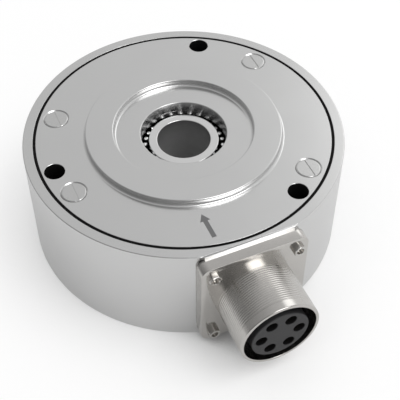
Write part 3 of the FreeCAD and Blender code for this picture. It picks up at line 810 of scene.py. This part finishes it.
# bearing rings, open at the top
bearing = {
    "shaft": 8.5, "inner": 11.25, "innerLow": 11.45, "innerTop": 34.45, "edge": 0.25, "around": 160,
    "race": 13.85, "rib": 13.65, "outer": 15.0, "outerLow": 10.95, "outerTop": 33.95,
    "needleTop": 32.32, "needleLow": 12.58, "lowEdge": 0.08, "topEdge": 0.05, "ribEdge": 0.04,
}
ring = lathe(softened([
    (bearing["shaft"], bearing["innerLow"], bearing["edge"]),
    (bearing["inner"], bearing["innerLow"], bearing["edge"]),
    (bearing["inner"], bearing["innerTop"], bearing["edge"]),
    (bearing["shaft"], bearing["innerTop"], bearing["edge"]),
], 5), bearing["around"])
made = piece("innerRing", ring, groundSteel, "bearing_inner_ring", "inner_ring")
# painted light deep in the shaft bore
recoat(made, satinBorePaintedLight, wallsOf(middle, bearing["shaft"]))
ring = lathe(softened([
    (bearing["rib"], bearing["outerLow"], bearing["lowEdge"]),
    (bearing["outer"], bearing["outerLow"], bearing["edge"]),
    (bearing["outer"], bearing["outerTop"], bearing["edge"]),
    (bearing["rib"], bearing["outerTop"], bearing["topEdge"]),
    (bearing["rib"], bearing["needleTop"], bearing["ribEdge"]),
    (bearing["race"], bearing["needleTop"]),
    (bearing["race"], bearing["needleLow"]),
    (bearing["rib"], bearing["needleLow"], bearing["ribEdge"]),
], 3), bearing["around"])
made = piece("outerRing", ring, groundSteel, "bearing_outer_ring")
recoat(made, boredAluminium, wallsOf(middle, bearing["rib"]))

# needles with domed ends, side by side all round; circle and count are those of their finish
needle = {"radius": 1.25, "low": 12.7, "top": 32.2, "dome": 1.3, "domeSteps": 6, "around": 24}
domeLine = []
for step in range(needle["domeSteps"] + 1):
    reach = needle["radius"] * step / needle["domeSteps"]
    domeLine.append((reach, needle["dome"] - math.sqrt(needle["dome"] ** 2 - reach ** 2)))
needleLine = [(reach, needle["low"] + drop) for reach, drop in domeLine]
needleLine += [(reach, needle["top"] - drop) for reach, drop in domeLine[::-1]]
needlePlaces = [polar(roller["circle"], 360 / roller["count"] * i) for i in range(roller["count"])]
rollers = copied(lathe(needleLine, needle["around"]), needlePlaces)
piece("needles", rollers, rollerGlintAndShade, "bearing_needles", "needle_set")
print("screws and bearing made")

# connector shell: square flange, plain neck, cut thread and a plain front band; levels are from the flat
shell = {
    "wide": 34.2, "corner": 2.8, "cornerSteps": 8, "thick": 4.0, "flangeEdge": 0.25, "flangeEase": 0.3,
    "sleeve": 10.3, "sleeveEdge": 0.2, "sleevePlay": 0.01, "back": -8.0,
    "sleeveBore": 9.4, "sleeveBoreEdge": 0.1,
    "neck": 12.6, "neckTop": 5.33, "neckEdge": 0.05, "barrel": 12.65, "front": 21.34, "frontRound": 0.4,
    "bandStep": 0.12, "bandEdge": 0.05, "bore": 11.63, "boreEdge": 0.15, "shoulder": 4.38, "around": 160,
    "threadLow": 5.4, "threadTop": 18.52, "root": 12.58, "crest": (0.28, 0.72), "pitch": 0.75, "fade": 0.5,
    "ringSeat": 11.98, "ringLow": 9.38, "ringTop": 10.38,
    "screwPlace": 13.45, "screwHole": 1.5, "screwHoleLip": 0.1, "screwHoleAround": 32,
}


# a true single-start thread: a root line and the two sides of a flat crest, wound along the barrel
def threadGrid():
    shape = bmesh.new()
    low = shell["threadLow"]
    top = shell["threadTop"]
    root = shell["root"]
    pitch = shell["pitch"]
    around = shell["around"]
    turns = math.ceil((top - low) / pitch) + 2
    profile = [(0.0, root)] + [(share, shell["barrel"]) for share in shell["crest"]]
    wound = [[] for line in profile]
    for k in range(turns * around + 1):
        angle = 2 * math.pi * k / around
        for row, (share, reach) in zip(wound, profile):
            height = low - pitch + pitch * (k / around + share)
            inside = low < height < top
            height = min(max(height, low), top)
            fade = min(height - low, top - height) / (shell["fade"] * pitch)
            radius = root + (reach - root) * min(1.0, fade) if inside else root
            row.append(shape.verts.new((radius * math.cos(angle), radius * math.sin(angle), height)))
    for k in range(turns * around):
        for below, above in zip(wound, wound[1:]):
            shape.faces.new((below[k], below[k + 1], above[k + 1], above[k]))
        if k + around + 1 < len(wound[0]):
            below, above = wound[-1], wound[0]
            shape.faces.new((below[k], below[k + 1], above[k + around + 1], above[k + around]))
    return shape


# the plain surfaces each side of the thread end on its first and last line
plainLine = softened([
    (shell["root"], shell["threadLow"]),
    (shell["neck"], shell["neckTop"], shell["neckEdge"]),
    (shell["neck"], shell["thick"] / 2),
    (shell["sleeve"], shell["thick"] / 2),
    (shell["sleeve"], shell["back"], shell["sleeveEdge"]),
    (shell["sleeveBore"], shell["back"], shell["sleeveBoreEdge"]),
    (shell["sleeveBore"], shell["shoulder"]),
    (shell["bore"], shell["shoulder"]),
    (shell["bore"], shell["ringLow"]),
    (shell["ringSeat"], shell["ringLow"]),
    (shell["ringSeat"], shell["ringTop"]),
    (shell["bore"], shell["ringTop"]),
    (shell["bore"], shell["front"], shell["boreEdge"]),
    (shell["barrel"], shell["front"], shell["frontRound"]),
    (shell["barrel"], shell["threadTop"] + shell["bandStep"], shell["bandEdge"]),
    (shell["root"], shell["threadTop"]),
])
barrel = gathered([lathe(plainLine, shell["around"], closed=False), threadGrid()])
bmesh.ops.remove_doubles(barrel, verts=barrel.verts, dist=shop["threadWeld"])
bmesh.ops.dissolve_degenerate(barrel, edges=barrel.edges, dist=shop["threadWeld"])
bmesh.ops.recalc_face_normals(barrel, faces=barrel.faces)


# square with round corners and a rounded front edge
def squarePlate(wide, corner, low, high, edge):
    shape = bmesh.new()
    ease = edge * shell["flangeEase"]
    steps = shell["cornerSteps"]
    rows = []
    for inset, height in ((0, low), (0, high - edge), (ease, high - ease), (edge, high)):
        row = []
        for quarter, (i, j) in enumerate(((1, 1), (-1, 1), (-1, -1), (1, -1))):
            for step in range(steps + 1):
                angle = math.radians(90 * quarter + 90 * step / steps)
                across = i * (wide / 2 - corner) + (corner - inset) * math.cos(angle)
                rise = j * (wide / 2 - corner) + (corner - inset) * math.sin(angle)
                row.append(shape.verts.new((across, rise, height)))
        rows.append(row)
    return tidied(skinned(shape, rows))


flangeScrewPlaces = [(i * shell["screwPlace"], j * shell["screwPlace"]) for i in (-1, 1) for j in (-1, 1)]
flange = squarePlate(shell["wide"], shell["corner"], 0, shell["thick"], shell["flangeEdge"])
lip = shell["screwHoleLip"]
play = shell["sleevePlay"]
cuts = []
for place in flangeScrewPlaces:
    cuts.append(drill(shell["screwHole"], 0, shell["thick"], lip, lip, place, shell["screwHoleAround"]))
cuts.append(drill(shell["sleeve"] + play, 0, shell["thick"], play, play))
shellShape = gathered([carved(flange, gathered(cuts)), barrel])
made = piece(
    "connectorShell", shellShape, platedNickel, "connector_shell", place=outOfFlat,
)


def onThread(point, normal):
    out = math.hypot(point.x, point.z - housing["axisHeight"])
    level = -housing["flat"] - point.y
    return shell["threadLow"] < level < shell["threadTop"] and out > shell["root"] - shop["fineReach"]


recoat(made, threadNickel, onThread)
print("connector shell threaded")

# dark block with six contact holes
insert = {
    "radius": 9.18, "collar": 11.5, "collarEdge": 0.1, "collarTop": 9.38, "collarTopEdge": 0.2,
    "around": 128, "tail": 9.3, "tailEdge": 0.1, "front": 21.34, "edge": 0.3,
    "count": 6, "circle": 6.07, "holeAround": 48, "mouth": 1.85, "mouthLip": 0.15, "mouthDepth": 2.2,
    "channel": 1.55, "channelLip": 0.03,
}
contactPlaces = [polar(insert["circle"], 360 / insert["count"] * k) for k in range(insert["count"])]
mouthLow = insert["front"] - insert["mouthDepth"]
block = lathe(softened([
    (0, shell["back"]),
    (insert["tail"], shell["back"], insert["tailEdge"]),
    (insert["tail"], shell["shoulder"]),
    (insert["collar"], shell["shoulder"], insert["collarEdge"]),
    (insert["collar"], insert["collarTop"], insert["collarTopEdge"]),
    (insert["radius"], insert["collarTop"]),
    (insert["radius"], insert["front"], insert["edge"]),
    (0, insert["front"]),
]), insert["around"])
lip = insert["channelLip"]
front = insert["front"]
facets = insert["holeAround"]
mouthCuts = []
channelCuts = []
for place in contactPlaces:
    mouthCuts.append(drill(insert["mouth"], mouthLow, front, insert["mouthLip"], None, place, facets))
    channelCuts.append(drill(insert["channel"], shell["back"], mouthLow, lip, lip, place, facets))
block = carved(carved(block, gathered(mouthCuts)), gathered(channelCuts))
made = piece("contactInsert", block, mouldedPlastic, "connector_insert", place=outOfFlat)


def inMouth(point, normal):
    reach = insert["mouth"] + shop["fineReach"]
    isWall = abs(normal.y) < shop["wallTilt"]
    return isWall and nearAxis(point.x, point.z - housing["axisHeight"], contactPlaces, reach)


# painted shade on the walls of the contact holes
recoat(made, paintedHoleShade, inMouth)

# small hexagon screws with a drilled end
hexScrew = {
    "sides": 6, "flats": 3.5, "head": 1.85, "edge": 0.18, "round": 0.25, "roundSteps": 4, "uprightFrom": 1.0,
    "recess": 1.1, "recessDepth": 1.2, "recessLip": 0.12, "shank": 1.25, "shankEdge": 0.2, "bite": 6.0,
    "overlap": 0.4, "around": 32, "turns": (0, 30, 8, 0),
}
headTop = shell["thick"] + hexScrew["head"]
corner = hexScrew["flats"] / math.sqrt(3)
inset = corner - hexScrew["edge"]
hexHead = bmesh.new()
rows = []
for reach, height in ((corner, shell["thick"]), (corner, headTop - hexScrew["edge"]), (inset, headTop)):
    ends = [polar(reach, 360 / hexScrew["sides"] * (k + 0.5)) for k in range(hexScrew["sides"])]
    rows.append([hexHead.verts.new((px, py, height)) for px, py in ends])
skinned(hexHead, rows)
upEdges = [e for e in hexHead.edges if abs(e.verts[0].co.z - e.verts[1].co.z) > hexScrew["uprightFrom"]]
bmesh.ops.bevel(
    hexHead, geom=upEdges, affect="EDGES", profile=0.5,
    offset=hexScrew["round"], segments=hexScrew["roundSteps"],
)
recess = drill(
    hexScrew["recess"], headTop - hexScrew["recessDepth"], headTop, hexScrew["recessLip"],
    around=hexScrew["around"],
)
hexHead = carved(tidied(hexHead), recess)
shankTop = shell["thick"] + hexScrew["overlap"]
shank = lathe(softened([
    (0, -hexScrew["bite"]),
    (hexScrew["shank"], -hexScrew["bite"], hexScrew["shankEdge"]),
    (hexScrew["shank"], shankTop),
    (0, shankTop),
]), hexScrew["around"])
screws = copied(carved(hexHead, shank, "UNION"), flangeScrewPlaces, hexScrew["turns"])
piece("hexScrews", screws, platedNickel, "connector_screws", place=outOfFlat)
print("insert and flange screws made")

# printed arrow that gives the load's direction
arrow = {"x": -8.85, "tip": -33.9, "head": -36.7, "half": 1.6, "shaft": 0.72, "tail": -43.3, "thick": 0.012}
outline = [
    (0, arrow["tip"]), (-arrow["half"], arrow["head"]), (-arrow["shaft"], arrow["head"]),
    (-arrow["shaft"], arrow["tail"]), (arrow["shaft"], arrow["tail"]), (arrow["shaft"], arrow["head"]),
    (arrow["half"], arrow["head"]),
]
mark = bmesh.new()
rows = []
for height in (cover["top"], cover["top"] + arrow["thick"]):
    rows.append([mark.verts.new((arrow["x"] + px, py, height)) for px, py in outline])
piece("loadArrow", tidied(skinned(mark, rows)), markInk, None)

# CAD pieces that stay take these finishes
dress = {
    "cover_seal": sealRubber, "connector_seal": sealRubber,
    "sensing_element": milledSteel, "element_screws": brightSteel, "element_dowels": groundSteel,
    "overload_stops": groundSteel, "strain_gauges": gaugeFoil, "gauge_leads": leadSleeve,
    "terminal_board": boardLaminate, "contact_sockets": goldPlate, "insert_retaining_ring": blackSpring,
}
for name, material in dress.items():
    for held in nodes[name].material_slots:
        held.material = material
print("CAD pieces dressed")
